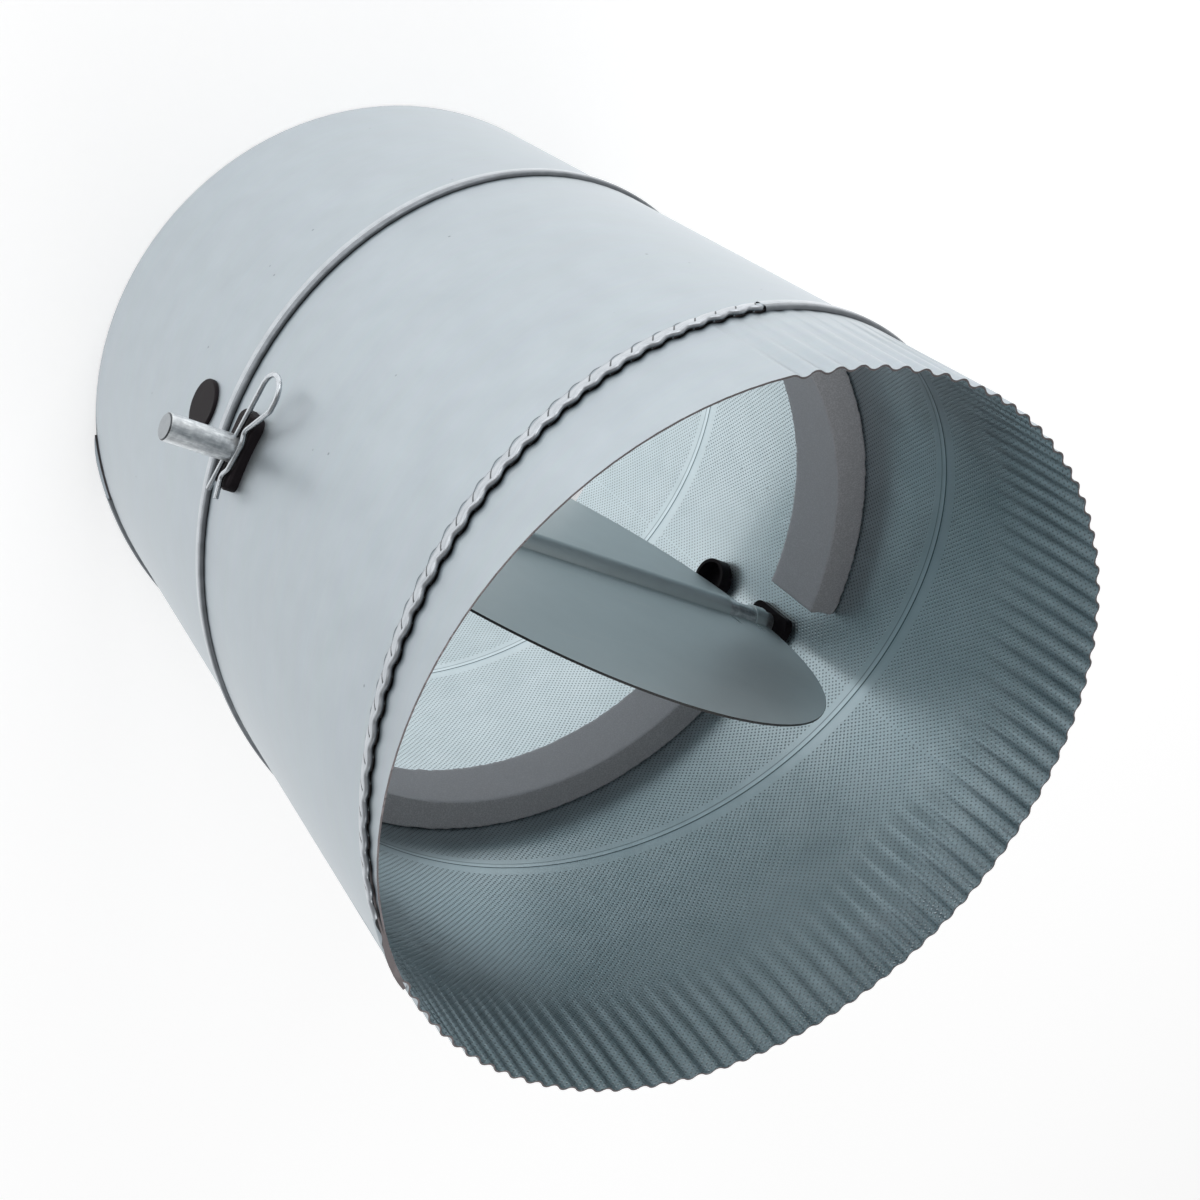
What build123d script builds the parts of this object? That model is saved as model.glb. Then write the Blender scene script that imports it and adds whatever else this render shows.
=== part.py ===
"""Round zone damper: spiral lock-seam duct with a crimped end and a shaft-mounted blade.

Millimetres, +Z along the duct from the plain end to the crimped end.
The origin is the centre of the plain rim and the shaft lies along X, drive end at +X.
The blade is drawn fully open, in the plane Y = 0.
"""
import os
from math import cos, radians, sin

from build123d import *

os.makedirs("parts", exist_ok=True)

# Duct sheet
duct_radius = 127.0
wall = 0.6
duct_length = 308.0
bore_radius = duct_radius - wall

# Spiral lock seam, one strip width of advance a turn
seam_lead = 151.5
seam_start = 31.7
seam_width = 4.4
seam_height = 1.5
seam_root = 0.3
seam_overrun = 8.0

# Crimped end
crimp_length = 50.0
crimp_depth = 1.3
crimp_count = 106
crimp_pitch = 360.0 / crimp_count
crimp_first = -60.0
crimps_made = 75
plain_arcs = 3

# Seam scallops left by the crimping rolls where the seam lies in the crimped end
scallop_radius = 2.3
scallop_bite_front = 1.1
scallop_bite_back = 0.5
scallops_made = 32
scallops_short = 4
scallop_first = -66.0
scallop_clear = 0.02

# Shaft and its bearings
shaft_height = 157.0
shaft_radius = 4.76
shaft_drive_reach = 28.6
shaft_idle_reach = 4.4
shaft_drive_x = duct_radius + shaft_drive_reach
shaft_idle_x = -(duct_radius + shaft_idle_reach)
shaft_chamfer = 0.5
running_gap = 0.05
outer_flange_across = 26.6
outer_flange_along = 14.5
bushing_proud = 3.4
bushing_chamfer = 0.7
bushing_neck = 6.4
inner_flange_across = 13.4
inner_flange_along = 23.0
inner_flange_depth = 3.8
flange_corner = 4.0
seat_gap = 0.02

# Hole plugs behind the shaft
plug_height = 115.5
plug_radius = 9.6
plug_proud = 1.2
plug_round = 0.7
plug_stem_radius = 8.6
plug_stem_bore = 7.2
plug_stem_depth = 6.0
plug_floor = 1.2

# Blade
blade_rim_gap = 7.0
blade_radius = duct_radius - blade_rim_gap
blade_gauge = 0.8
channel_radius = shaft_radius + running_gap + blade_gauge
channel_short = 2.0
channel_reach = blade_radius - channel_short
strap_length = 14.0
strap_inset = 8.5
strap_far = blade_radius - strap_inset
strap_near = strap_far - strap_length
lance_width = 1.4
lance_half = 13.0

# Foam stops, one on each side of the closed blade
stop_depth = 13.4
stop_bore = bore_radius - stop_depth
stop_end_angle = 9.0
front_stop_width = 28.5
back_stop_width = 25.5
blade_gap = 0.3
stop_offset = blade_gauge / 2 + blade_gap

# Hairpin clip
wire_radius = 0.9
hairpin_x = duct_radius + bushing_proud + 0.3 + wire_radius
hairpin_tilt = 7.5
hairpin_tail = 16.5
hairpin_bend = -24.5
hairpin_loop = 6.4
hairpin_wave = 2.4
hairpin_crest = shaft_radius + wire_radius + 0.44
hairpin_hole = wire_radius + 0.08


def around(radius, angle, height):
    """Point at a radius, an angle in degrees and a height on the duct."""
    return (radius * cos(radians(angle)), radius * sin(radians(angle)), height)


def seam_at(angle, turn):
    """Height of the seam at an angle, counted in turns from the plain end."""
    return (angle - seam_start + 360.0 * turn) / 360.0 * seam_lead


def crimp_outline(radius, depth, height):
    """Closed outline of the end at a height: a wave of the given depth, plain along the seam."""
    middle = radius - depth / 2
    shoulder = radius - depth * 0.15
    start = crimp_first + crimp_pitch / 2
    quarter = crimp_pitch / 4
    arcs = [((radius, start), (shoulder, start - quarter / 2), (middle, start - quarter))]
    for k in range(crimps_made):
        angle = crimp_first - crimp_pitch * k
        arcs.append(((middle, angle + quarter), (radius - depth, angle), (middle, angle - quarter)))
        if k < crimps_made - 1:
            crest = angle - 2 * quarter
            arcs.append(((middle, crest + quarter), (radius, crest), (middle, crest - quarter)))
    end = start - crimp_pitch * crimps_made
    arcs.append(((middle, end + quarter), (shoulder, end + quarter / 2), (radius, end)))
    step = (360.0 - crimp_pitch * crimps_made) / plain_arcs
    for k in range(plain_arcs):
        first = end - step * k
        arcs.append(((radius, first), (radius, first - step / 2), (radius, first - step)))
    return Wire([ThreePointArc(*[around(*point, height) for point in arc]) for arc in arcs])


def crimped_plug(radius):
    """Solid of the crimped length, the wave growing from nothing to its full depth at the rim."""
    base = crimp_outline(radius, 0.0, duct_length - crimp_length)
    rim = crimp_outline(radius, crimp_depth, duct_length)
    return Solid.make_loft([base, rim], ruled=True)


# Lock seam: a ridge of folded sheet wound round the tube and cut level with both rims
with BuildPart() as seam:
    with BuildLine() as seam_path:
        Helix(seam_lead, duct_length + 2 * seam_overrun, duct_radius, center=(0, 0, -seam_overrun))
    with BuildSketch(Plane(origin=seam_path.line @ 0, x_dir=(1, 0, 0), z_dir=seam_path.line % 0)):
        with BuildLine():
            half = seam_width / 2
            shoulder = seam_height * 0.45
            Polyline((shoulder, half), (-seam_root, half), (-seam_root, -half), (shoulder, -half))
            ThreePointArc((shoulder, -half), (seam_height, 0), (shoulder, half))
        make_face()
    sweep(is_frenet=True)

seam_turn = seam_start - seam_overrun / seam_lead * 360.0

outer_plug = crimped_plug(duct_radius)
inner_plug = crimped_plug(bore_radius)
with BuildPart() as crimped_end:
    add(outer_plug)
    add(inner_plug, mode=Mode.SUBTRACT)

with BuildPart() as duct_body:
    with BuildSketch(Plane.XY):
        Circle(duct_radius)
        Circle(bore_radius, mode=Mode.SUBTRACT)
    extrude(amount=duct_length - crimp_length)
    for height, radius in ((shaft_height, bushing_neck), (plug_height, plug_stem_radius)):
        with BuildSketch(Plane.YZ.offset(-duct_radius - 1)):
            with Locations((0, height)):
                Circle(radius + seat_gap)
        extrude(amount=2 * duct_radius + 2, mode=Mode.SUBTRACT)

with BuildPart() as seam_ridge:
    add(seam.part, rotation=(0, 0, seam_turn))
    with BuildSketch(Plane.XY):
        Circle(duct_radius + 2 * seam_height)
    extrude(amount=duct_length, mode=Mode.INTERSECT)
    with Locations(*[
        Plane(
            origin=around(
                duct_radius + scallop_clear,
                scallop_first + crimp_pitch * (k + 0.25 * side),
                seam_at(scallop_first + crimp_pitch * (k + 0.25 * side), 2)
                + side * (seam_width / 2 + scallop_radius - bite),
            ),
            x_dir=(0, 0, 1),
            z_dir=around(1, scallop_first + crimp_pitch * (k + 0.25 * side), 0),
        )
        for side, bite in ((-1, scallop_bite_back), (1, scallop_bite_front))
        for k in range(scallops_made - scallops_short * (side > 0))
    ]):
        Cylinder(
            scallop_radius,
            2 * seam_height,
            align=(Align.CENTER, Align.CENTER, Align.MIN),
            mode=Mode.SUBTRACT,
        )

with duct_body:
    add(crimped_end.part, clean=False)
    add(seam_ridge.part, clean=False)
duct_body.part.label = "duct_body"
export_step(duct_body.part, "parts/duct_body.step")


def bushing(side, label):
    """Flanged bearing in the wall, its two flanges shaped to the curve of the sheet."""
    with BuildPart() as inner:
        with BuildSketch(Plane.YZ.offset(side * (bore_radius - inner_flange_depth))):
            with Locations((0, shaft_height)):
                RectangleRounded(inner_flange_across, inner_flange_along, flange_corner)
        extrude(amount=side * inner_flange_depth * 2)
        with BuildSketch(Plane.XY):
            Circle(bore_radius - seat_gap)
        extrude(amount=duct_length, mode=Mode.INTERSECT)
    with BuildPart() as made:
        with BuildSketch(Plane.YZ.offset(side * (duct_radius + bushing_proud))):
            with Locations((0, shaft_height)):
                RectangleRounded(outer_flange_across, outer_flange_along, flange_corner)
        extrude(amount=-side * bushing_proud * 2)
        outer_face = made.faces().sort_by(Axis.X)[-1 if side > 0 else 0]
        chamfer(outer_face.edges(), bushing_chamfer)
        with BuildSketch(Plane.XY):
            Circle(duct_radius + seat_gap)
        extrude(amount=duct_length, mode=Mode.SUBTRACT)
        add(inner.part)
        with BuildSketch(Plane.YZ.offset(side * (bore_radius - inner_flange_depth / 2))):
            with Locations((0, shaft_height)):
                Circle(bushing_neck)
        extrude(amount=side * (inner_flange_depth / 2 + wall + bushing_proud / 2))
        with BuildSketch(Plane.YZ.offset(side * (bore_radius - inner_flange_depth))):
            with Locations((0, shaft_height)):
                Circle(shaft_radius + running_gap)
        extrude(amount=side * duct_radius, mode=Mode.SUBTRACT)
    made.part.label = label
    export_step(made.part, "parts/" + label + ".step")
    return made


def hole_plug(side, label):
    """Push-in plug: a low round cap outside and a hollow stem through the sheet."""
    with BuildPart() as made:
        with BuildSketch(Plane.YZ.offset(side * (duct_radius + plug_proud))):
            with Locations((0, plug_height)):
                Circle(plug_radius)
        extrude(amount=-side * plug_proud * 2)
        cap_face = made.faces().sort_by(Axis.X)[-1 if side > 0 else 0]
        fillet(cap_face.edges(), plug_round)
        with BuildSketch(Plane.XY):
            Circle(duct_radius + seat_gap)
        extrude(amount=duct_length, mode=Mode.SUBTRACT)
        with BuildSketch(Plane.YZ.offset(side * (bore_radius - plug_stem_depth))):
            with Locations((0, plug_height)):
                Circle(plug_stem_radius)
        extrude(amount=side * (plug_stem_depth + wall + plug_proud / 2))
        with BuildSketch(Plane.YZ.offset(side * (bore_radius - plug_stem_depth))):
            with Locations((0, plug_height)):
                Circle(plug_stem_bore)
        extrude(amount=side * (plug_stem_depth + wall + plug_proud - plug_floor), mode=Mode.SUBTRACT)
    made.part.label = label
    export_step(made.part, "parts/" + label + ".step")
    return made


drive_bushing = bushing(1, "drive_bushing")
idle_bushing = bushing(-1, "idle_bushing")
drive_plug = hole_plug(1, "drive_plug")
idle_plug = hole_plug(-1, "idle_plug")

# Hairpin plane: across the shaft just outside the drive bushing
tilt = radians(hairpin_tilt)
hairpin_plane = Plane(
    origin=(hairpin_x, 0, shaft_height),
    x_dir=(0, cos(tilt), -sin(tilt)),
    z_dir=(1, 0, 0),
)

with BuildPart() as shaft:
    with BuildSketch(Plane.YZ.offset(shaft_idle_x)):
        with Locations((0, shaft_height)):
            Circle(shaft_radius)
    extrude(amount=shaft_drive_x - shaft_idle_x)
    chamfer(shaft.edges().filter_by(GeomType.CIRCLE), shaft_chamfer)
    with Locations(Plane(origin=hairpin_plane.origin, x_dir=(1, 0, 0), z_dir=hairpin_plane.x_dir)):
        Cylinder(hairpin_hole, 4 * shaft_radius, mode=Mode.SUBTRACT)
shaft.part.label = "shaft"
export_step(shaft.part, "parts/shaft.step")

with BuildPart() as hairpin_clip:
    with BuildLine(hairpin_plane) as hairpin_path:
        Line((hairpin_tail, 0), (hairpin_bend, 0))
        ThreePointArc(
            (hairpin_bend, 0),
            (hairpin_bend - hairpin_loop, hairpin_loop),
            (hairpin_bend, 2 * hairpin_loop),
        )
        FilletPolyline(
            (hairpin_bend, 2 * hairpin_loop),
            (hairpin_bend + 3.0, 2 * hairpin_loop),
            (-8.6, 3.9),
            (-5.0, hairpin_crest),
            (5.0, hairpin_crest),
            (8.6, 3.9),
            (15.4, 8.1),
            radius=hairpin_wave,
        )
    for run in hairpin_path.edges():
        with BuildSketch(Plane(origin=run @ 0, z_dir=run % 0)):
            Circle(wire_radius)
        sweep(path=run)
hairpin_clip.part.label = "hairpin_clip"
export_step(hairpin_clip.part, "parts/hairpin_clip.step")

with BuildPart() as damper_blade:
    with BuildSketch(Plane.XZ):
        with Locations((0, shaft_height)):
            Circle(blade_radius)
    extrude(amount=blade_gauge / 2, both=True)
    for start, end, bulge in (
        (-channel_reach, -strap_far, 180),
        (-strap_far, -strap_near, 0),
        (-strap_near, strap_near, 180),
        (strap_near, strap_far, 0),
        (strap_far, channel_reach, 180),
    ):
        with BuildSketch(Plane.YZ.offset(start)):
            with BuildLine():
                CenterArc((0, shaft_height), channel_radius, bulge - 90, 180)
                Line((0, shaft_height - channel_radius), (0, shaft_height + channel_radius))
            make_face()
        extrude(amount=end - start)
    with BuildSketch(Plane.YZ.offset(-duct_radius)):
        with Locations((0, shaft_height)):
            Circle(shaft_radius + running_gap)
    extrude(amount=2 * duct_radius, mode=Mode.SUBTRACT)
    for lance_x in (-strap_far, -strap_near, strap_near, strap_far):
        with Locations((lance_x, 0, shaft_height)):
            Box(lance_width, 4 * channel_radius, 2 * lance_half, mode=Mode.SUBTRACT)
damper_blade.part.label = "damper_blade"
export_step(damper_blade.part, "parts/damper_blade.step")

for label, base, width, first in (
    ("front_stop", shaft_height + stop_offset, front_stop_width, 180 + stop_end_angle),
    ("back_stop", shaft_height - stop_offset - back_stop_width, back_stop_width, stop_end_angle),
):
    with BuildPart() as foam_stop:
        with BuildSketch(Plane.XY.offset(base)):
            with BuildLine():
                outer = CenterArc((0, 0), bore_radius - seat_gap, first, 180 - 2 * stop_end_angle)
                inner = CenterArc((0, 0), stop_bore, first, 180 - 2 * stop_end_angle)
                Line(outer @ 0, inner @ 0)
                Line(outer @ 1, inner @ 1)
            make_face()
        extrude(amount=width)
    foam_stop.part.label = label
    export_step(foam_stop.part, "parts/" + label + ".step")
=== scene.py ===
# %% [markdown]
# # A round zone damper, dressed for a studio picture
# A zone damper is a short length of spiral duct with a flat blade on a shaft. The solids come from
# the CAD model as a fixed frame: one object for each real piece, already in its place. Here each
# piece gets its finish, the lock seam gets its pressed relief, and the foam stops are made again
# with the soft corners of cut foam.

# %% Load the frame
import math

import bpy
from mathutils import Matrix, Vector


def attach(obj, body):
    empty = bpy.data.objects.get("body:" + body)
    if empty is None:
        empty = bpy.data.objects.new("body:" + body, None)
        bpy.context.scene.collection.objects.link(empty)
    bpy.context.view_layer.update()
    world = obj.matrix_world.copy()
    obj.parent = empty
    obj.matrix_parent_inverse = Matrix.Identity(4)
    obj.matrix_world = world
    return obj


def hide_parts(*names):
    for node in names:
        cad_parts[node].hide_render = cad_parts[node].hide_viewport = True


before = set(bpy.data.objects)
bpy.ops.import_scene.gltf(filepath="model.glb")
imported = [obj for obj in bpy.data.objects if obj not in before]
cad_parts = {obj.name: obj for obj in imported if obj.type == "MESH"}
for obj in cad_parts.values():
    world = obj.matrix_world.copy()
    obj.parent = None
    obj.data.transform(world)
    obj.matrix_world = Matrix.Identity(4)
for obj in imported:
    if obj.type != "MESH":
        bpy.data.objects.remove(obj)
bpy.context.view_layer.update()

# %% [markdown]
# ## Small helpers for every finish
# Colours are written as the hex values that a picture editor shows. A renderer works in linear
# light, so one function changes them over. Another adds a node, sets it and wires its inputs, which
# keeps each finish readable from top to bottom. The last one starts an empty material. A mix node
# shares socket names between its kinds, so its colour sockets go by number, and the numbers get names.

# %% Colour and node helpers
MM = 0.001
MIX_FIRST, MIX_SECOND, MIXED = 6, 7, 2


def linear(hex_colour):
    """Linear RGBA of an sRGB hex colour such as "#c0c7cc"."""
    parts = [int(hex_colour[i:i + 2], 16) / 255 for i in (1, 3, 5)]
    return (*[p / 12.92 if p <= 0.04045 else ((p + 0.055) / 1.055) ** 2.4 for p in parts], 1.0)


def add_node(tree, kind, inputs=None, stops=(), **settings):
    """Adds a node. Each input is a value, or an output of another node to link from.

    A colour ramp also takes its stops, each a place from 0 to 1 and a hex colour.
    """
    node = tree.nodes.new(kind)
    for key, value in settings.items():
        setattr(node, key, value)
    for key, value in (inputs or {}).items():
        if isinstance(value, bpy.types.NodeSocket):
            tree.links.new(value, node.inputs[key])
        else:
            node.inputs[key].default_value = value
    if stops:
        points = node.color_ramp.elements
        while len(points) < len(stops):
            points.new(0.5)
        for point, (position, colour) in zip(points, stops):
            point.position = position
            point.color = linear(colour)
    return node


def new_finish(name):
    """An empty material: the material, its node tree and its texture coordinates."""
    material = bpy.data.materials.new(name)
    material.use_nodes = True
    tree = material.node_tree
    tree.nodes.clear()
    return material, tree, add_node(tree, "ShaderNodeTexCoord")


print("helpers ready")

# %% [markdown]
# ## Galvanised sheet of the duct: a coordinate along the spiral
# The duct is a strip of thin rolled steel, hot-dip galvanised and wound into a spiral, with its edges
# folded into one lock seam. What marks the sheet, from the shadow beside the fold to the rolled
# dimples, runs along that spiral. A UV map could carry this, but the CAD mesh has none, so the finish
# works it out from the angle round the duct and the height: how far a point lies from the seam. The
# way a face looks, against the spoke from the duct's axis, tells the inside from the outside.

# %% Spiral coordinates of the sheet
DUCT_RADIUS = 127.0 * MM
SEAM_LEAD = 151.5 * MM
SEAM_START = math.radians(31.7)

galvanised, tree, coords = new_finish("galvanised_steel_rolled")
place = add_node(tree, "ShaderNodeSeparateXYZ", {0: coords.outputs["Object"]})
turn = add_node(
    tree, "ShaderNodeMath", {0: place.outputs["Y"], 1: place.outputs["X"]}, operation="ARCTAN2",
)
along = add_node(tree, "ShaderNodeMath", {0: turn.outputs[0], 1: DUCT_RADIUS}, operation="MULTIPLY")
climb = add_node(
    tree, "ShaderNodeMath",
    {0: turn.outputs[0], 1: -SEAM_LEAD / math.tau, 2: SEAM_LEAD * SEAM_START / math.tau},
    operation="MULTIPLY_ADD",
)
height = add_node(
    tree, "ShaderNodeMath", {0: place.outputs["Z"], 1: climb.outputs[0]}, operation="ADD",
)
from_seam = add_node(
    tree, "ShaderNodeMath", {0: height.outputs[0], 1: SEAM_LEAD / 2, 2: -SEAM_LEAD / 2},
    operation="WRAP",
)
spoke = add_node(tree, "ShaderNodeCombineXYZ", {"X": place.outputs["X"], "Y": place.outputs["Y"]})
facing = add_node(
    tree, "ShaderNodeVectorMath", {0: coords.outputs["Normal"], 1: spoke.outputs[0]},
    operation="DOT_PRODUCT",
)
inside = add_node(
    tree, "ShaderNodeMath", {0: facing.outputs["Value"], 1: 0.0}, operation="LESS_THAN",
)
outside = add_node(tree, "ShaderNodeMath", {0: 1.0, 1: inside.outputs[0]}, operation="SUBTRACT")
print("spiral of", round(SEAM_LEAD / MM, 1), "mm a turn")

# %% [markdown]
# ## The zinc itself
# Hot-dip zinc is a satin, slightly blue grey. It has faint cloudy patches, fine streaks along the
# strip and a few dark specks of dross. The outside is handled and dulled, and the inside is painted paler as
# painted light.
# A photograph of zinc could be wrapped round instead, but it would show a join and a scale of its
# own, so noise at real sizes makes the patches and streaks, and a scatter of cells the specks.

# %% Zinc patches and streaks
ZINC_PATCH = 14.0 * MM
STREAK_GAP = 1.5 * MM
STREAK_STRETCH = 0.04

clouds = add_node(
    tree, "ShaderNodeTexNoise",
    {"Vector": coords.outputs["Object"], "Scale": 1 / ZINC_PATCH, "Detail": 4.0},
)
drawn_out = add_node(
    tree, "ShaderNodeMath", {0: along.outputs[0], 1: STREAK_STRETCH}, operation="MULTIPLY",
)
strip = add_node(tree, "ShaderNodeCombineXYZ", {"X": drawn_out.outputs[0], "Y": from_seam.outputs[0]})
streaks = add_node(
    tree, "ShaderNodeTexNoise", {"Vector": strip.outputs[0], "Scale": 1 / STREAK_GAP, "Detail": 3.0},
)
tone_out = add_node(
    tree, "ShaderNodeValToRGB", {0: clouds.outputs["Fac"]}, stops=((0.25, "#abb4ba"), (0.75, "#b5bec4")),
)
# Painted light: the inner face takes a paler copy of the zinc tone
tone_in_painted_light = add_node(
    tree, "ShaderNodeValToRGB", {0: clouds.outputs["Fac"]}, stops=((0.25, "#ccdadf"), (0.75, "#dae7ec")),
)
tone = add_node(
    tree, "ShaderNodeMix",
    {0: inside.outputs[0], MIX_FIRST: tone_out.outputs[0], MIX_SECOND: tone_in_painted_light.outputs[0]},
    data_type="RGBA",
)
streaked = add_node(
    tree, "ShaderNodeMix",
    {0: 0.035, MIX_FIRST: tone.outputs[MIXED], MIX_SECOND: streaks.outputs["Color"]},
    data_type="RGBA", blend_type="OVERLAY",
)
print("zinc patches", round(ZINC_PATCH / MM), "mm across")

# %% Dark specks about a millimetre across, in one cell in eight
SPECK_GAP = 9.0 * MM

specks = add_node(
    tree, "ShaderNodeTexVoronoi", {"Vector": coords.outputs["Object"], "Scale": 1 / SPECK_GAP},
    feature="F1",
)
speck_size = add_node(
    tree, "ShaderNodeMapRange",
    {"Value": specks.outputs["Distance"], "From Min": 0.03, "From Max": 0.07, "To Min": 1.0, "To Max": 0.0},
)
speck_pick = add_node(tree, "ShaderNodeSeparateColor", {0: specks.outputs["Color"]})
speck_few = add_node(
    tree, "ShaderNodeMath", {0: speck_pick.outputs[0], 1: 0.88}, operation="GREATER_THAN",
)
speck = add_node(
    tree, "ShaderNodeMath", {0: speck_size.outputs[0], 1: speck_few.outputs[0]}, operation="MULTIPLY",
)
speck_soft = add_node(tree, "ShaderNodeMath", {0: speck.outputs[0], 1: 0.6}, operation="MULTIPLY")
specked = add_node(
    tree, "ShaderNodeMix",
    {0: speck_soft.outputs[0], MIX_FIRST: streaked.outputs[MIXED], MIX_SECOND: linear("#5c6266")},
    data_type="RGBA",
)
print("specks in cells of", round(SPECK_GAP / MM), "mm")

# %% [markdown]
# ## Beside the fold, outside and inside
# Outside, the fold stands on the sheet with a narrow open slit along one edge, too fine for the mesh,
# so its shade is painted: a ramp across the seam goes from a thin dark line at the fold's back edge to
# painted shade in the slit and a painted shadow beside it.
# In the crimped end the slit waves once for each crimp, as the pressed edge above it does. Inside, the
# folded layers meet in a dark joint with a painted highlight beside it and a thin second line.

# %% Painted shade in the slit of the fold outside, and its painted shadow
CRIMP_BASE = 261.3 * MM
CRIMPS_ROUND = 106
CRIMP_PITCH = math.tau / CRIMPS_ROUND
WAVE_FIRST = math.radians(-66.0)
WAVE_LAG = 0.25
WAVE_DEPTH = 1.1 * MM
SLIT_TUCK = 0.2 * MM

crimped = add_node(
    tree, "ShaderNodeMath", {0: place.outputs["Z"], 1: CRIMP_BASE}, operation="GREATER_THAN",
)
wave_turn = add_node(
    tree, "ShaderNodeMath",
    {0: turn.outputs[0], 1: math.tau / CRIMP_PITCH,
     2: -(WAVE_FIRST / CRIMP_PITCH + WAVE_LAG) * math.tau},
    operation="MULTIPLY_ADD",
)
wave = add_node(tree, "ShaderNodeMath", {0: wave_turn.outputs[0]}, operation="COSINE")
wave_in = add_node(
    tree, "ShaderNodeMath", {0: wave.outputs[0], 1: WAVE_DEPTH / 2, 2: WAVE_DEPTH / 2 + SLIT_TUCK},
    operation="MULTIPLY_ADD",
)
wave_here = add_node(
    tree, "ShaderNodeMath", {0: wave_in.outputs[0], 1: crimped.outputs[0]}, operation="MULTIPLY",
)
across = add_node(
    tree, "ShaderNodeMath", {0: from_seam.outputs[0], 1: wave_here.outputs[0]}, operation="ADD",
)
across_share = add_node(
    tree, "ShaderNodeMapRange", {"Value": across.outputs[0], "From Min": -4.0 * MM, "From Max": 6.0 * MM},
)
# A thin dark line at the back edge, then painted shade in the slit and a painted shadow beside it
fold_painted_shade = add_node(tree, "ShaderNodeValToRGB", {0: across_share.outputs[0]}, stops=(
    (0.04, "#eeeeee"), (0.07, "#73787b"), (0.12, "#d0d3d5"), (0.62, "#d0d3d5"), (0.66, "#15181a"),
    (0.735, "#1a1d1f"), (0.77, "#8f969a"), (0.85, "#c6cbce"), (0.98, "#eeeeee"),
))
with_fold_painted_shade = add_node(
    tree, "ShaderNodeMix",
    {0: outside.outputs[0], MIX_FIRST: specked.outputs[MIXED], MIX_SECOND: fold_painted_shade.outputs[0]},
    data_type="RGBA", blend_type="MULTIPLY",
)
print("slit waves", round(WAVE_DEPTH / MM, 1), "mm deep in the crimped end")

# %% Joint of the fold inside, with a painted highlight beside it
joint_share = add_node(
    tree, "ShaderNodeMapRange",
    {"Value": from_seam.outputs[0], "From Min": -4.0 * MM, "From Max": 4.0 * MM},
)
# Dark joint and thin second line, with a painted highlight as the lighter band beside the joint
joint_and_painted_highlight = add_node(tree, "ShaderNodeValToRGB", {0: joint_share.outputs[0]}, stops=(
    (0.20, "#f2f2f2"), (0.24, "#8c9498"), (0.28, "#f2f2f2"), (0.40, "#ffffff"), (0.49, "#ffffff"),
    (0.51, "#566064"), (0.55, "#5d676b"), (0.58, "#e0e4e6"), (0.70, "#f2f2f2"),
))
lined = add_node(
    tree, "ShaderNodeMix",
    {0: inside.outputs[0], MIX_FIRST: with_fold_painted_shade.outputs[MIXED], MIX_SECOND: joint_and_painted_highlight.outputs[0]},
    data_type="RGBA", blend_type="MULTIPLY",
)
print("joint drawn inside")

# %% [markdown]
# ## Rolled dimples
# The strip runs through dimpled rolls before it is wound, which leaves a staggered grid of small
# pits on the inner face, except beside the seam. They are far too many to model, so two cosine waves
# along and across the strip are multiplied: the peaks of the product are a staggered grid. It darkens
# the pits with painted shade and, further on, drives a bump.

# %% Dimples inside
DIMPLE_PITCH = 2.2 * MM
CLEAR_BAND = (4.5 * MM, 5.5 * MM)

phase_along, phase_across = [
    add_node(tree, "ShaderNodeMath", {0: way.outputs[0], 1: math.tau / DIMPLE_PITCH}, operation="MULTIPLY")
    for way in (along, from_seam)
]
wave_along, wave_across = [
    add_node(tree, "ShaderNodeMath", {0: phase.outputs[0]}, operation="COSINE")
    for phase in (phase_along, phase_across)
]
grid = add_node(
    tree, "ShaderNodeMath", {0: wave_along.outputs[0], 1: wave_across.outputs[0]}, operation="MULTIPLY",
)
dots = add_node(
    tree, "ShaderNodeMapRange", {"Value": grid.outputs[0], "From Min": 0.30, "From Max": 0.85},
    interpolation_type="SMOOTHSTEP",
)
seam_far = add_node(tree, "ShaderNodeMath", {0: from_seam.outputs[0]}, operation="ABSOLUTE")
clear_band = add_node(
    tree, "ShaderNodeMapRange",
    {"Value": seam_far.outputs[0], "From Min": CLEAR_BAND[0], "From Max": CLEAR_BAND[1]},
)
dots_clear = add_node(
    tree, "ShaderNodeMath", {0: dots.outputs[0], 1: clear_band.outputs[0]}, operation="MULTIPLY",
)
dimples = add_node(
    tree, "ShaderNodeMath", {0: dots_clear.outputs[0], 1: inside.outputs[0]}, operation="MULTIPLY",
)
# Painted shade in the pits of the dimples
dimple_painted_shade = add_node(tree, "ShaderNodeMath", {0: dimples.outputs[0], 1: 0.62}, operation="MULTIPLY")
with_dimple_painted_shade = add_node(
    tree, "ShaderNodeMix",
    {0: dimple_painted_shade.outputs[0], MIX_FIRST: lined.outputs[MIXED], MIX_SECOND: linear("#4c565a")},
    data_type="RGBA",
)
print("dimples", round(DIMPLE_PITCH / MM, 1), "mm apart")

# %% [markdown]
# ## Edge, grain and shine of the sheet
# The cut edge of the sheet at both rims is bare steel, which is darker than zinc, so faces that look
# up or down take its colour. A fine grain breaks the reflections a little. Clean zinc is a full
# metal, but the handled outside has a dull oxide film, so it counts as a little less metallic there.

# %% Cut edge, bump and shader
ZINC_GRAIN = 0.9 * MM

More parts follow.
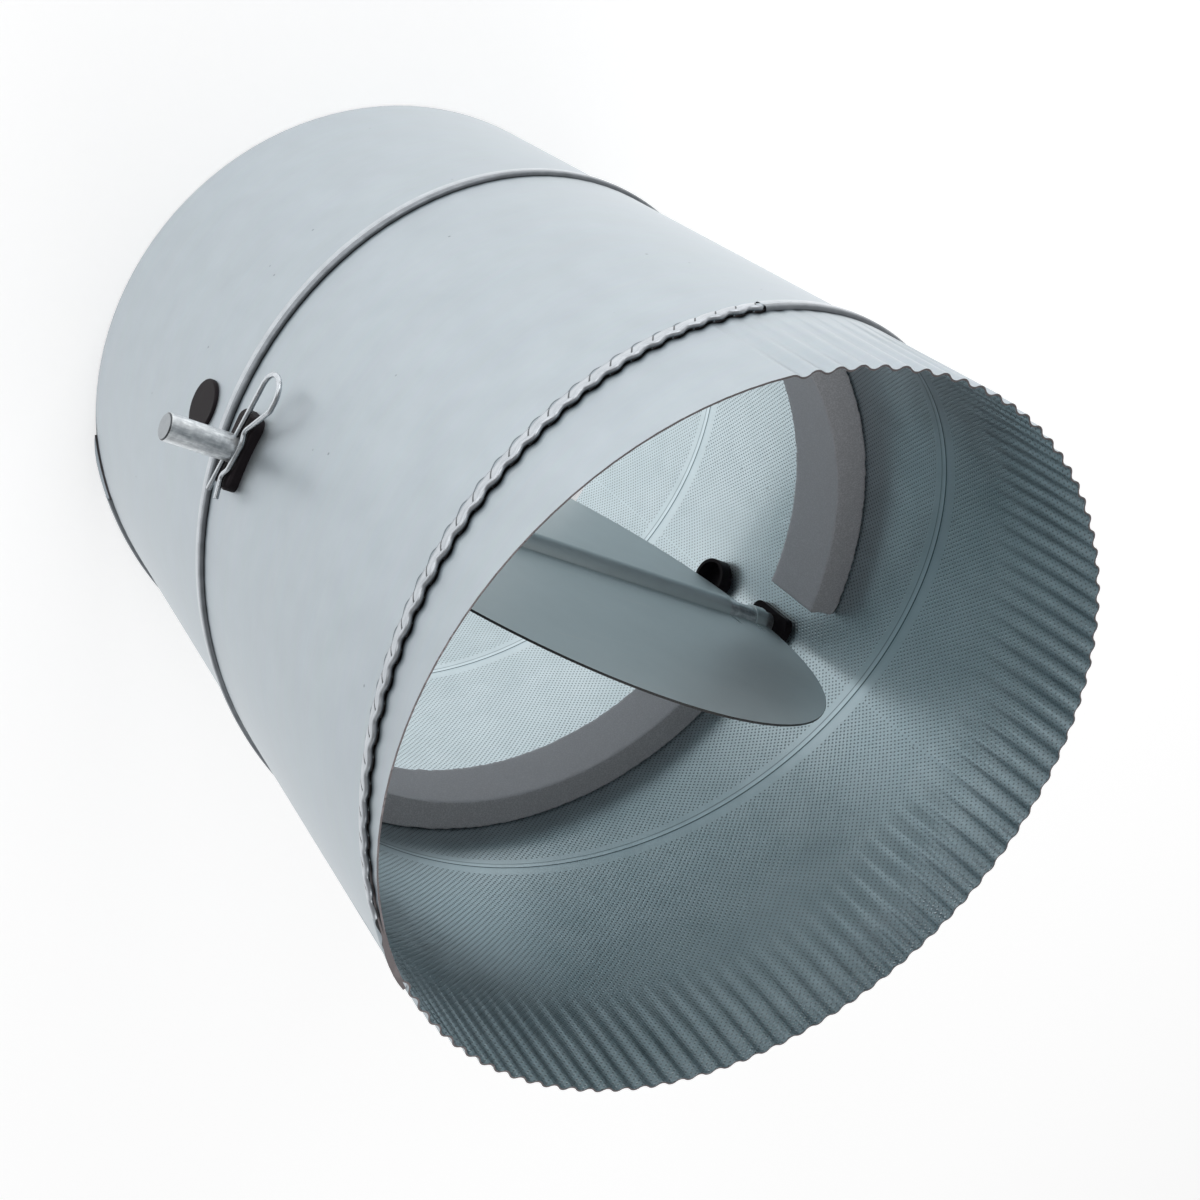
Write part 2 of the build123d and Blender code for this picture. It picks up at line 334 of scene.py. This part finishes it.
face_way = add_node(tree, "ShaderNodeSeparateXYZ", {0: coords.outputs["Normal"]})
upright = add_node(tree, "ShaderNodeMath", {0: face_way.outputs["Z"]}, operation="ABSOLUTE")
cut_edge = add_node(tree, "ShaderNodeMath", {0: upright.outputs[0], 1: 0.8}, operation="GREATER_THAN")
rimmed = add_node(
    tree, "ShaderNodeMix",
    {0: cut_edge.outputs[0], MIX_FIRST: with_dimple_painted_shade.outputs[MIXED], MIX_SECOND: linear("#6b6667")},
    data_type="RGBA",
)
grain = add_node(
    tree, "ShaderNodeTexNoise",
    {"Vector": coords.outputs["Object"], "Scale": 1 / ZINC_GRAIN, "Detail": 2.0},
)
grain_bump = add_node(
    tree, "ShaderNodeBump", {"Height": grain.outputs["Fac"], "Strength": 0.05, "Distance": 0.3 * MM},
)
dimple_bump = add_node(
    tree, "ShaderNodeBump",
    {"Height": dimples.outputs[0], "Normal": grain_bump.outputs[0], "Strength": 0.5, "Distance": 0.25 * MM},
    invert=True,
)
satin = add_node(
    tree, "ShaderNodeMapRange", {"Value": clouds.outputs["Fac"], "To Min": 0.36, "To Max": 0.50},
)
rough = add_node(
    tree, "ShaderNodeMath", {0: inside.outputs[0], 1: -0.12, 2: satin.outputs[0]},
    operation="MULTIPLY_ADD",
)
bare = add_node(
    tree, "ShaderNodeMapRange", {"Value": inside.outputs[0], "To Min": 0.82, "To Max": 1.0},
)
shader = add_node(
    tree, "ShaderNodeBsdfPrincipled",
    {"Base Color": rimmed.outputs[MIXED], "Metallic": bare.outputs[0], "Roughness": rough.outputs[0],
     "Normal": dimple_bump.outputs[0]},
)
add_node(tree, "ShaderNodeOutputMaterial", {"Surface": shader.outputs[0]})
print("finish:", galvanised.name, len(tree.nodes), "nodes")

# %% [markdown]
# ## Blade sheet
# The blade is cut from the same zinc-coated sheet, but it is flat and handled more, so it is duller,
# with soft smears and a few long hair scratches. Noise stretched along the shaft gives the scratches,
# and the distance from the blade's middle finds the sheared rim, painted dark both for its bare steel
# and as painted shade on the edge.

# %% Galvanised blade sheet
SHAFT_HEIGHT = 157.0 * MM
BLADE_RADIUS = 120.0 * MM
RIM_SHOWN = 0.15 * MM
SMEAR = 35.0 * MM
HAIR_GAP = 1.2 * MM

blade_sheet, tree, coords = new_finish("galvanised_steel_flat")
smears = add_node(
    tree, "ShaderNodeTexNoise", {"Vector": coords.outputs["Object"], "Scale": 1 / SMEAR, "Detail": 5.0},
)
tone = add_node(
    tree, "ShaderNodeMix",
    {0: smears.outputs["Fac"], MIX_FIRST: linear("#c0cccf"), MIX_SECOND: linear("#d8e2e5")},
    data_type="RGBA",
)
stretch = add_node(
    tree, "ShaderNodeMapping",
    {"Vector": coords.outputs["Object"], "Rotation": (0.0, 0.12, 0.0), "Scale": (0.03, 1.0, 1.0)},
)
hairs = add_node(
    tree, "ShaderNodeTexNoise", {"Vector": stretch.outputs[0], "Scale": 1 / HAIR_GAP, "Detail": 1.0},
)
hair = add_node(
    tree, "ShaderNodeMapRange",
    {"Value": hairs.outputs["Fac"], "From Min": 0.68, "From Max": 0.76, "To Max": 0.5},
)
scratched = add_node(
    tree, "ShaderNodeMix",
    {0: hair.outputs[0], MIX_FIRST: tone.outputs[MIXED], MIX_SECOND: linear("#d5dcdc")},
    data_type="RGBA",
)
# The rim is painted dark: partly bare steel, partly painted shade on the edge
off_middle = add_node(
    tree, "ShaderNodeVectorMath",
    {0: coords.outputs["Object"], 1: (0.0, 0.0, SHAFT_HEIGHT)}, operation="DISTANCE",
)
blade_rim_bare_and_shaded = add_node(
    tree, "ShaderNodeMath", {0: off_middle.outputs["Value"], 1: BLADE_RADIUS - RIM_SHOWN},
    operation="GREATER_THAN",
)
with_rim_bare_and_shaded = add_node(
    tree, "ShaderNodeMix",
    {0: blade_rim_bare_and_shaded.outputs[0], MIX_FIRST: scratched.outputs[MIXED], MIX_SECOND: linear("#2e2f30")},
    data_type="RGBA",
)
satin = add_node(
    tree, "ShaderNodeMapRange", {"Value": smears.outputs["Fac"], "To Min": 0.38, "To Max": 0.52},
)
shader = add_node(
    tree, "ShaderNodeBsdfPrincipled",
    {"Base Color": with_rim_bare_and_shaded.outputs[MIXED], "Metallic": 0.55, "Roughness": satin.outputs[0]},
)
add_node(tree, "ShaderNodeOutputMaterial", {"Surface": shader.outputs[0]})
print("finish:", blade_sheet.name, len(tree.nodes), "nodes")

# %% [markdown]
# ## Zinc-plated rod
# The shaft is drawn rod with a thin zinc plating, so fine lines run along it and the plating is
# patchy. Noise stretched along the rod, times plain noise, gives both. The sawn end face is duller
# than the plating, and its chamfer shows as a thin dark ring, found by place and by the way it looks.

# %% Zinc plating on the drawn rod
SHAFT_END = 155.6 * MM
CHAMFER_SHOWN = 0.45 * MM
DRAW_LINE = 0.7 * MM
ROD_PATCH = 1.8 * MM

zinc_rod, tree, coords = new_finish("zinc_plated_drawn_rod")
stretch = add_node(
    tree, "ShaderNodeMapping", {"Vector": coords.outputs["Object"], "Scale": (0.15, 1.0, 1.0)},
)
draw_lines = add_node(
    tree, "ShaderNodeTexNoise", {"Vector": stretch.outputs[0], "Scale": 1 / DRAW_LINE, "Detail": 3.0},
)
patches = add_node(
    tree, "ShaderNodeTexNoise",
    {"Vector": coords.outputs["Object"], "Scale": 1 / ROD_PATCH, "Detail": 4.0},
)
patchy = add_node(
    tree, "ShaderNodeMath", {0: draw_lines.outputs["Fac"], 1: patches.outputs["Fac"]},
    operation="MULTIPLY",
)
rod_tone = add_node(
    tree, "ShaderNodeMapRange", {"Value": patchy.outputs[0], "From Min": 0.12, "From Max": 0.42},
)
tone = add_node(
    tree, "ShaderNodeMix",
    {0: rod_tone.outputs[0], MIX_FIRST: linear("#b6bbbf"), MIX_SECOND: linear("#e9edef")},
    data_type="RGBA",
)
along_rod = add_node(tree, "ShaderNodeSeparateXYZ", {0: coords.outputs["Object"]})
face_way = add_node(tree, "ShaderNodeSeparateXYZ", {0: coords.outputs["Normal"]})
at_end = add_node(
    tree, "ShaderNodeMath", {0: along_rod.outputs["X"], 1: SHAFT_END - CHAMFER_SHOWN},
    operation="GREATER_THAN",
)
end_face = add_node(
    tree, "ShaderNodeMath", {0: face_way.outputs["X"], 1: 0.9}, operation="GREATER_THAN",
)
end_tone = add_node(
    tree, "ShaderNodeMix",
    {0: end_face.outputs[0], MIX_FIRST: linear("#4c4f52"), MIX_SECOND: linear("#8d9296")},
    data_type="RGBA",
)
ended = add_node(
    tree, "ShaderNodeMix",
    {0: at_end.outputs[0], MIX_FIRST: tone.outputs[MIXED], MIX_SECOND: end_tone.outputs[MIXED]},
    data_type="RGBA",
)
rod_bump = add_node(
    tree, "ShaderNodeBump", {"Height": draw_lines.outputs["Fac"], "Strength": 0.25, "Distance": 0.1 * MM},
)
satin = add_node(
    tree, "ShaderNodeMapRange", {"Value": patches.outputs["Fac"], "To Min": 0.28, "To Max": 0.52},
)
shader = add_node(
    tree, "ShaderNodeBsdfPrincipled",
    {"Base Color": ended.outputs[MIXED], "Metallic": 0.9, "Roughness": satin.outputs[0],
     "Normal": rod_bump.outputs[0]},
)
add_node(tree, "ShaderNodeOutputMaterial", {"Surface": shader.outputs[0]})
print("finish:", zinc_rod.name, len(tree.nodes), "nodes")

# %% [markdown]
# ## Spring wire
# The clip is bent from spring wire with a brighter plating than the rod's, and it is too thin to show
# more than small patches of light and dark.

# %% Zinc plating on the spring wire
WIRE_PATCH = 2.0 * MM

zinc_wire, tree, coords = new_finish("zinc_plated_spring_wire")
patches = add_node(
    tree, "ShaderNodeTexNoise",
    {"Vector": coords.outputs["Object"], "Scale": 1 / WIRE_PATCH, "Detail": 3.0},
)
tone = add_node(
    tree, "ShaderNodeMix",
    {0: patches.outputs["Fac"], MIX_FIRST: linear("#9ba0a5"), MIX_SECOND: linear("#c9ced2")},
    data_type="RGBA",
)
satin = add_node(
    tree, "ShaderNodeMapRange", {"Value": patches.outputs["Fac"], "To Min": 0.18, "To Max": 0.34},
)
shader = add_node(
    tree, "ShaderNodeBsdfPrincipled",
    {"Base Color": tone.outputs[MIXED], "Metallic": 1.0, "Roughness": satin.outputs[0]},
)
add_node(tree, "ShaderNodeOutputMaterial", {"Surface": shader.outputs[0]})
print("finish:", zinc_wire.name, len(tree.nodes), "nodes")

# %% [markdown]
# ## Black moulded plastic
# Bushings and hole plugs are polyethylene from a mould with a light spark texture: nearly black, a
# touch warm, with hardly any shine. A fine bump stands for the texture, and rubbed patches vary the
# shine.

# %% Moulded black polyethylene
SPARK = 0.5 * MM
RUB = 6.0 * MM

black_plastic, tree, coords = new_finish("polyethylene_moulded_black")
spark = add_node(
    tree, "ShaderNodeTexNoise", {"Vector": coords.outputs["Object"], "Scale": 1 / SPARK, "Detail": 3.0},
)
rub = add_node(
    tree, "ShaderNodeTexNoise", {"Vector": coords.outputs["Object"], "Scale": 1 / RUB, "Detail": 3.0},
)
tone = add_node(
    tree, "ShaderNodeMix",
    {0: rub.outputs["Fac"], MIX_FIRST: linear("#1a1719"), MIX_SECOND: linear("#282427")},
    data_type="RGBA",
)
spark_bump = add_node(
    tree, "ShaderNodeBump", {"Height": spark.outputs["Fac"], "Strength": 0.25, "Distance": 0.1 * MM},
)
matt = add_node(tree, "ShaderNodeMapRange", {"Value": rub.outputs["Fac"], "To Min": 0.40, "To Max": 0.58})
shader = add_node(
    tree, "ShaderNodeBsdfPrincipled",
    {"Base Color": tone.outputs[MIXED], "Roughness": matt.outputs[0], "Specular IOR Level": 0.05,
     "Normal": spark_bump.outputs[0]},
)
add_node(tree, "ShaderNodeOutputMaterial", {"Surface": shader.outputs[0]})
print("finish:", black_plastic.name, len(tree.nodes), "nodes")

# %% [markdown]
# ## Foam
# The stops are strips of grey polyurethane foam, cut with a knife and glued in. Cut foam shows its
# cells as fine light and dark grains with no shine at all: cells times noise give grains of uneven
# size. The inner face is painted paler than the cut faces, as painted light on the face turned into the duct,
# and the way a face looks finds it.

# %% Cut polyurethane foam
FOAM_CELL = 0.6 * MM
FOAM_GRAIN = 0.5 * MM

foam_grey, tree, coords = new_finish("polyurethane_foam_cut")
cells = add_node(
    tree, "ShaderNodeTexVoronoi", {"Vector": coords.outputs["Object"], "Scale": 1 / FOAM_CELL},
    feature="F1",
)
grains = add_node(
    tree, "ShaderNodeTexNoise",
    {"Vector": coords.outputs["Object"], "Scale": 1 / FOAM_GRAIN, "Detail": 3.0},
)
cell_depth = add_node(
    tree, "ShaderNodeMath", {0: cells.outputs["Distance"], 1: grains.outputs["Fac"]},
    operation="MULTIPLY",
)
cell_tone = add_node(
    tree, "ShaderNodeMapRange", {"Value": cell_depth.outputs[0], "From Min": 0.05, "From Max": 0.45},
)
tone = add_node(
    tree, "ShaderNodeMix",
    {0: cell_tone.outputs[0], MIX_FIRST: linear("#aaa8ab"), MIX_SECOND: linear("#c6c4c7")},
    data_type="RGBA",
)
foam_place = add_node(tree, "ShaderNodeSeparateXYZ", {0: coords.outputs["Object"]})
foam_spoke = add_node(
    tree, "ShaderNodeCombineXYZ", {"X": foam_place.outputs["X"], "Y": foam_place.outputs["Y"]},
)
foam_facing = add_node(
    tree, "ShaderNodeVectorMath", {0: coords.outputs["Normal"], 1: foam_spoke.outputs[0]},
    operation="DOT_PRODUCT",
)
# Painted light: faces turned towards the duct's axis are painted paler
inner_face_painted_light = add_node(
    tree, "ShaderNodeMapRange",
    {"Value": foam_facing.outputs["Value"], "From Min": -0.085, "From Max": -0.06,
     "To Min": 0.40, "To Max": 0.0},
)
with_inner_face_painted_light = add_node(
    tree, "ShaderNodeMix",
    {0: inner_face_painted_light.outputs[0], MIX_FIRST: tone.outputs[MIXED], MIX_SECOND: linear("#e6e3e8")},
    data_type="RGBA",
)
cell_bump = add_node(
    tree, "ShaderNodeBump", {"Height": cell_depth.outputs[0], "Strength": 0.3, "Distance": 0.2 * MM},
)
shader = add_node(
    tree, "ShaderNodeBsdfPrincipled",
    {"Base Color": with_inner_face_painted_light.outputs[MIXED], "Roughness": 0.95, "Specular IOR Level": 0.2,
     "Normal": cell_bump.outputs[0]},
)
add_node(tree, "ShaderNodeOutputMaterial", {"Surface": shader.outputs[0]})
print("finish:", foam_grey.name, len(tree.nodes), "nodes")

# %% [markdown]
# ## Dress the rigid pieces
# The rigid solids already have the right shape, so they stay as they are and only take a finish.
# Their edges are left as the CAD meshed them.

# %% Finishes on the CAD pieces
finish_of = {
    "duct_body": galvanised,
    "damper_blade": blade_sheet,
    "shaft": zinc_rod,
    "hairpin_clip": zinc_wire,
    "drive_bushing": black_plastic,
    "idle_bushing": black_plastic,
    "drive_plug": black_plastic,
    "idle_plug": black_plastic,
}
for name, finish in finish_of.items():
    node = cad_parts[name]
    node.data.materials.clear()
    node.data.materials.append(finish)
print("dressed", len(finish_of), "rigid pieces")

# %% [markdown]
# ## Finishes of the seam outside
# The rolls that close the lock seam press its zinc smooth and bright. The front side of the fold,
# past its joint, is painted darker as painted shade. The ticks between the pressed pads are painted
# dark as shade in their grooves, and the fine joint along the straight fold takes the same dark matt finish.

# %% Finishes of the pressed fold
FOLD_PATCH = 5.0 * MM


def folded_finish(name, low, high, roughness):
    """Pressed zinc sheet with faint patches between two tones."""
    finish, tree, coords = new_finish(name)
    patches = add_node(
        tree, "ShaderNodeTexNoise",
        {"Vector": coords.outputs["Object"], "Scale": 1 / FOLD_PATCH, "Detail": 2.0},
    )
    tone = add_node(tree, "ShaderNodeValToRGB", {0: patches.outputs["Fac"]}, stops=((0.3, low), (0.7, high)))
    shader = add_node(
        tree, "ShaderNodeBsdfPrincipled",
        {"Base Color": tone.outputs[0], "Metallic": 0.85, "Roughness": roughness},
    )
    add_node(tree, "ShaderNodeOutputMaterial", {"Surface": shader.outputs[0]})
    return finish


fold_steel = folded_finish("galvanised_steel_folded", "#a6abb0", "#b4b9be", 0.36)
# Painted shade: a darker copy of the folded zinc for the fold's front side
fold_front_painted_shade = folded_finish("galvanised_steel_fold_front_painted_shade", "#787d82", "#898e93", 0.42)
# Painted shade in the ticks' grooves; the fold's dark joint takes the same finish
tick_shade_and_joint, tree, coords = new_finish("steel_tick_painted_shade_and_joint")
shader = add_node(tree, "ShaderNodeBsdfPrincipled", {"Base Color": linear("#55585b"), "Roughness": 0.7})
add_node(tree, "ShaderNodeOutputMaterial", {"Surface": shader.outputs[0]})
print("finishes:", fold_steel.name, fold_front_painted_shade.name, tick_shade_and_joint.name)

# %% [markdown]
# ## The seam outside
# The lock seam stands up as a flat-topped fold with a fine joint along it. In the crimped end the
# rolls have pressed it into a row of small pads with a tick between each two. A Screw modifier could
# turn the straight fold, but the pads swell and lean along the same helix, which no single operator
# gives. So one function sets rows of points across the fold, one row after another along the helix,
# and makes both strips. Their lower edges lie under the skin of the duct.

# %% Rows of points across the seam
# The depth and pull of a tick and the pads' back edge are in mm, as a profile's points are
PAD_STEPS = 12
TICK_SHARE = 0.25
TICK_DEPTH = 0.14
TICK_PULL = 0.25
PAD_BACK = -2.0
TICK_LEAN = 0.7 * MM / DUCT_RADIUS


def seam_height_at(angle):
    """Height of the seam's middle. Angles near zero lie in the crimped end, lower ones on turns before it."""
    return SEAM_LEAD * (angle - SEAM_START + 2 * math.tau) / math.tau


def seam_points(first, turn_share, steps, profile, padded):
    """Rows of points along the helix, one for each step, with a profile in mm."""
    points = []
    for step in range(steps + 1):
        share = step % PAD_STEPS / PAD_STEPS
        swell = min(share, 1 - share, TICK_SHARE) / TICK_SHARE if padded else 1.0
        for across_mm, rise_mm in profile:
            angle = first + turn_share * step + TICK_LEAN * across_mm * padded
            out = DUCT_RADIUS + (rise_mm - TICK_DEPTH * (1 - swell)) * MM
            pull_mm = TICK_PULL * (1 - swell) * (across_mm < PAD_BACK)
            up_seam = seam_height_at(angle) + (across_mm + pull_mm) * MM
            points.append((out * math.cos(angle), out * math.sin(angle), up_seam))
    return points


def seam_strip(name, first, turn_share, steps, profile, finish_at, padded):
    """A strip along the seam. finish_at(row, column) is 2 in a joint or tick, 1 on the front side painted as
    shade and else 0.
    """
    wide = len(profile)
    faces = [
        (row * wide + col, (row + 1) * wide + col, (row + 1) * wide + col + 1, row * wide + col + 1)
        for row in range(steps) for col in range(wide - 1)
    ]
    mesh = bpy.data.meshes.new(name)
    mesh.from_pydata(seam_points(first, turn_share, steps, profile, padded), [], faces)
    for finish in (fold_steel, fold_front_painted_shade, tick_shade_and_joint):
        mesh.materials.append(finish)
    for index, face in enumerate(mesh.polygons):
        face.material_index = int(finish_at(index // (wide - 1), index % (wide - 1)))
        face.use_smooth = True
    strip_piece = bpy.data.objects.new(name, mesh)
    bpy.context.scene.collection.objects.link(strip_piece)
    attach(strip_piece, "duct")
    print(name, len(mesh.polygons), "faces")


print("seam height on the drive side of the crimped end, mm:", round(seam_height_at(0.0) / MM, 1))

# %% Straight fold and pressed pads
# Points in mm: across the seam, and out from the duct. The fold's joint is one column of its faces
FOLD_PROFILE = (
    (-3.05, -0.2), (-2.95, 0.7), (-2.6, 1.2), (-1.9, 1.44), (-0.8, 1.495), (0.8, 1.495), (0.88, 1.45),
    (1.06, 1.45), (1.14, 1.495), (2.0, 1.46), (2.5, 1.2), (2.8, 0.7), (2.75, -0.2),
)
FOLD_JOINT = 6
FOLD_FIRST = math.radians(39.0 - 720.0)
FOLD_STEP = math.radians(1.2)
FOLD_STEPS = 511
PAD_PROFILE = (
    (-2.75, -0.2), (-2.6, 0.75), (-2.3, 1.15), (-1.5, 1.45), (-0.5, 1.68), (0.5, 1.72), (1.2, 1.5),
)
PAD_FIRST = WAVE_FIRST - WAVE_LAG * CRIMP_PITCH
PADS = 30

# The straight fold starts clear of the plain rim and ends where the pads begin
# Columns past the fold's joint take the painted shade; the joint and the ticks take the dark tick finish
seam_strip(
    "seam_fold", FOLD_FIRST, FOLD_STEP, FOLD_STEPS, FOLD_PROFILE,
    lambda row, col: 2 if col == FOLD_JOINT else col > FOLD_JOINT, padded=False,
)
seam_strip(
    "seam_pads", PAD_FIRST, CRIMP_PITCH / PAD_STEPS, PADS * PAD_STEPS, PAD_PROFILE,
    lambda row, col: 2 * (row % PAD_STEPS == 0), padded=True,
)

# %% [markdown]
# ## The waved bead
# Below the pads, the open edge of the fold is pressed into a round bead that snakes once for each
# crimp. A curve with a round bevel is how one would draw such a bead by hand. Its points are worked
# out, because it follows the helix and waves at the same time, and it is then made a mesh.

# %% Waved bead of the crimped seam
BEAD_ENDS = (math.radians(-67.0), math.radians(35.5))
BEAD_STEPS = 400
BEAD_HALF = 0.95 * MM
BEAD_RADIUS = DUCT_RADIUS + 1.05 * MM
BEAD_OFFSET = 1.45 * MM

bead_curve = bpy.data.curves.new("seam_bead", "CURVE")
bead_curve.dimensions = "3D"
bead_curve.bevel_depth = BEAD_HALF
bead_curve.bevel_resolution = 3
bead_curve.use_fill_caps = True
bead_path = bead_curve.splines.new("POLY")
bead_path.points.add(BEAD_STEPS)
for step, point in enumerate(bead_path.points):
    angle = BEAD_ENDS[0] + (BEAD_ENDS[1] - BEAD_ENDS[0]) * step / BEAD_STEPS
    snake = math.cos(math.tau * ((angle - WAVE_FIRST) / CRIMP_PITCH - WAVE_LAG))
    bead_height = seam_height_at(angle) + BEAD_OFFSET - WAVE_DEPTH / 2 * snake
    point.co = (BEAD_RADIUS * math.cos(angle), BEAD_RADIUS * math.sin(angle), bead_height, 1.0)
bead = bpy.data.objects.new("seam_bead", bead_curve)
bpy.context.scene.collection.objects.link(bead)
bpy.ops.object.select_all(action="DESELECT")
bead.select_set(True)
bpy.context.view_layer.objects.active = bead
bpy.ops.object.convert(target="MESH")
bead = bpy.context.active_object
bpy.ops.object.shade_smooth()
bead.data.materials.clear()
bead.data.materials.append(fold_steel)
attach(bead, "duct")
print("seam bead", len(bead.data.polygons), "faces")

# %% [markdown]
# ## Foam stops
# A foam strip isn't a hard-edged block: its corners are soft, its faces wander a little and its
# cells stand open. Each stop starts as a copy of its CAD solid. A voxel remesh gives it an even
# skin, smoothing softens the corners, and a fine cloud pushes the skin in, never out, so that the
# blade keeps its clearance.

# %% Foam stops from their solids
FOAM_VOXEL = 1.3 * MM
FOAM_CLOUD = 6.0 * MM
FOAM_PUSH = 0.4 * MM
MERGE_GAP = 0.01 * MM

cell_cloud = bpy.data.textures.new("foam_cells", "CLOUDS")
cell_cloud.noise_scale = FOAM_CLOUD
cell_cloud.noise_depth = 2


def foam_strip(node_name, piece_name):
    """A soft foam strip in the place of a CAD stop."""
    piece = bpy.data.objects.new(piece_name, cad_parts[node_name].data.copy())
    bpy.context.scene.collection.objects.link(piece)
    bpy.ops.object.select_all(action="DESELECT")
    piece.select_set(True)
    bpy.context.view_layer.objects.active = piece
    bpy.ops.object.mode_set(mode="EDIT")
    bpy.ops.mesh.select_all(action="SELECT")
    bpy.ops.mesh.remove_doubles(threshold=MERGE_GAP)
    bpy.ops.object.mode_set(mode="OBJECT")
    skin = piece.modifiers.new("skin", "REMESH")
    skin.mode = "VOXEL"
    skin.voxel_size = FOAM_VOXEL
    soften = piece.modifiers.new("soften", "SMOOTH")
    soften.factor = 0.5
    soften.iterations = 1
    cells = piece.modifiers.new("cells", "DISPLACE")
    cells.texture = cell_cloud
    cells.texture_coords = "LOCAL"
    cells.mid_level = 1.0
    cells.strength = FOAM_PUSH
    for modifier in ("skin", "soften", "cells"):
        bpy.ops.object.modifier_apply(modifier=modifier)
    bpy.ops.object.shade_smooth()
    piece.data.materials.clear()
    piece.data.materials.append(foam_grey)
    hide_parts(node_name)
    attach(piece, "duct")
    return piece


for node_name, piece_name in (("front_stop", "front_stop_foam"), ("back_stop", "back_stop_foam")):
    foam_piece = foam_strip(node_name, piece_name)
    print(piece_name, len(foam_piece.data.polygons), "faces")

# %% [markdown]
# ## Floor
# The damper stands on plain white paper. Bright zinc shows its surroundings, so the floor makes half
# of the picture: it gives light of its own, a little more of it to reflections and on the lamps'
# side. To the camera, half of its white is its own and half is lamplight, so a soft shadow shows.

# %% White paper floor
FLOOR_SIZE = 10.0
FLOOR_DROP = 0.5 * MM

bpy.ops.object.select_all(action="DESELECT")
bpy.ops.mesh.primitive_plane_add(size=FLOOR_SIZE, location=(0.0, 0.0, -FLOOR_DROP))
floor = bpy.context.active_object
floor.name = "white_floor"
floor_paper, tree, coords = new_finish("floor_white_paper")
floor_place = add_node(tree, "ShaderNodeSeparateXYZ", {0: coords.outputs["Object"]})
path = add_node(tree, "ShaderNodeLightPath")
glow = add_node(
    tree, "ShaderNodeMapRange", {"Value": path.outputs["Is Glossy Ray"], "To Min": 0.85, "To Max": 0.92},
)
lamp_side = add_node(
    tree, "ShaderNodeMapRange",
    {"Value": floor_place.outputs["Y"], "From Min": -0.25, "From Max": 0.25, "To Min": 1.10, "To Max": 0.86},
    interpolation_type="SMOOTHSTEP",
)
uneven = add_node(
    tree, "ShaderNodeMath", {0: glow.outputs[0], 1: lamp_side.outputs[0]}, operation="MULTIPLY",
)
paper = add_node(tree, "ShaderNodeBsdfDiffuse", {"Color": linear("#e8e8e8")})
shown = add_node(tree, "ShaderNodeMix", {0: path.outputs["Is Camera Ray"], 2: uneven.outputs[0], 3: 0.5})
light = add_node(tree, "ShaderNodeEmission", {"Color": linear("#ffffff"), "Strength": shown.outputs[0]})
both = add_node(tree, "ShaderNodeAddShader", {0: paper.outputs[0], 1: light.outputs[0]})
add_node(tree, "ShaderNodeOutputMaterial", {"Surface": both.outputs[0]})
floor.data.materials.append(floor_paper)
print("floor", FLOOR_SIZE, "m wide")

# %% [markdown]
# ## World
# The air round about is pale, and darker overhead on the side where the open end of the duct looks
# out. That dark side is what gives the inside its deep grey. The camera itself sees plain white.

# %% Soft studio world
DARK_SIDE = (0.568, -0.278, 0.774)

world = bpy.data.worlds.new("soft_studio")
bpy.context.scene.world = world
world.use_nodes = True
tree = world.node_tree
tree.nodes.clear()
sky = add_node(tree, "ShaderNodeTexCoord")
towards = add_node(
    tree, "ShaderNodeVectorMath", {0: sky.outputs["Generated"], 1: DARK_SIDE}, operation="DOT_PRODUCT",
)
dim = add_node(
    tree, "ShaderNodeMapRange",
    {"Value": towards.outputs["Value"], "From Min": 0.25, "From Max": 0.85, "To Min": 0.60, "To Max": 0.30},
    interpolation_type="SMOOTHSTEP",
)
path = add_node(tree, "ShaderNodeLightPath")
backdrop = add_node(tree, "ShaderNodeMix", {0: path.outputs["Is Camera Ray"], 2: dim.outputs[0], 3: 1.0})
air = add_node(tree, "ShaderNodeBackground", {"Color": linear("#ffffff"), "Strength": backdrop.outputs[0]})
add_node(tree, "ShaderNodeOutputWorld", {"Surface": air.outputs[0]})
print("world:", world.name)

# %% [markdown]
# ## Lamps
# The lamps are large and soft. Each is placed by where it stands from the middle of the duct, in
# metres, and turned to face it.

# %% Lamps
DUCT_MIDDLE = Vector((0.0, 0.0, 154.0 * MM))


def soft_box(name, away, size, watts):
    """A square soft lamp at an offset from the middle of the duct, facing it."""
    lamp = bpy.data.lights.new(name, "AREA")
    lamp.size = size
    lamp.energy = watts
    holder = bpy.data.objects.new(name, lamp)
    holder.location = DUCT_MIDDLE + Vector(away)
    holder.rotation_euler = (-Vector(away)).to_track_quat("-Z", "Y").to_euler()
    bpy.context.scene.collection.objects.link(holder)
    print(name, watts, "W")


soft_box("side_lamp", (1.25, -0.85, 0.5), size=0.9, watts=5.0)
soft_box("low_lamp", (0.3, -1.5, 0.6), size=0.9, watts=6.0)
soft_box("top_lamp", (-0.45, 0.55, 1.35), size=0.8, watts=3.0)

# %% [markdown]
# ## Camera
# The picture was taken from above the crimped end, with the duct's axis running down to the right.
# The camera's place and turn come from matching the rims, the seam and the shaft to the picture,
# and the shift brings back its framing.

# %% Camera
RIGHT = Vector((-0.79183, -0.44060, 0.42294))
UP = Vector((0.22353, -0.85352, -0.47067))
CAMERA_PLACE = Vector((362.23, -133.11, 635.41)) * MM

camera = bpy.data.cameras.new("picture_camera")
camera.sensor_width = 36.0
camera.lens = 49.34
camera.shift_x = 0.1089
camera.shift_y = 0.0257
viewer = bpy.data.objects.new("picture_camera", camera)
bpy.context.scene.collection.objects.link(viewer)
turned = Matrix((RIGHT, UP, RIGHT.cross(UP))).transposed()
viewer.matrix_world = Matrix.Translation(CAMERA_PLACE) @ turned.to_4x4()
bpy.context.scene.camera = viewer
bpy.context.scene.view_settings.view_transform = "Standard"
print("camera looks along", [round(v, 3) for v in -RIGHT.cross(UP)])
